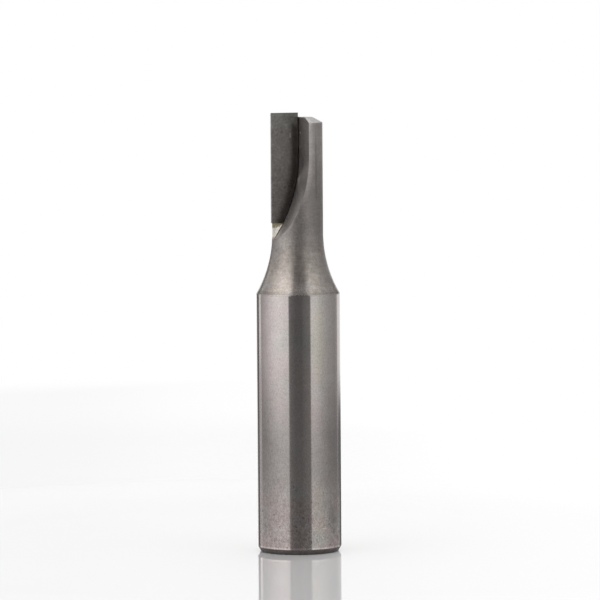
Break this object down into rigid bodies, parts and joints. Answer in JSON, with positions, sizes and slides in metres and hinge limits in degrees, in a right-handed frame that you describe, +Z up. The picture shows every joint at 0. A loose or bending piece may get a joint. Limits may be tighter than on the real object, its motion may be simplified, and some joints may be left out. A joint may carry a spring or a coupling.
{
  "type": "router bit",
  "caption": "Straight router bit: round collet shank, concave flare to a slim neck, and a carbide tip brazed into a curved gullet, for cutting narrow grooves.",
  "frame": {"origin": "centre of the shank's flat end face, on which the bit stands", "axes": "+Z up the bit's axis to the cutting end; the cutting face lies in the XZ plane and looks along -Y, and the cutting edge is on the -X side"},
  "size_m": [0.012, 0.012, 0.063],
  "materials": {
    "tool_steel": "ground shank, turned flare and neck, dulled beside the tip by the brazing heat and speckled towards the shank's end",
    "carbide": "fine-ground dark grey cemented carbide",
    "silver_braze": "pale silver brazing filler, as flowed"
  },
  "bodies": {
    "root": {"body": "tool_steel", "carbide_tip": "carbide", "braze_joint": "silver_braze"}
  },
  "joints": []
}
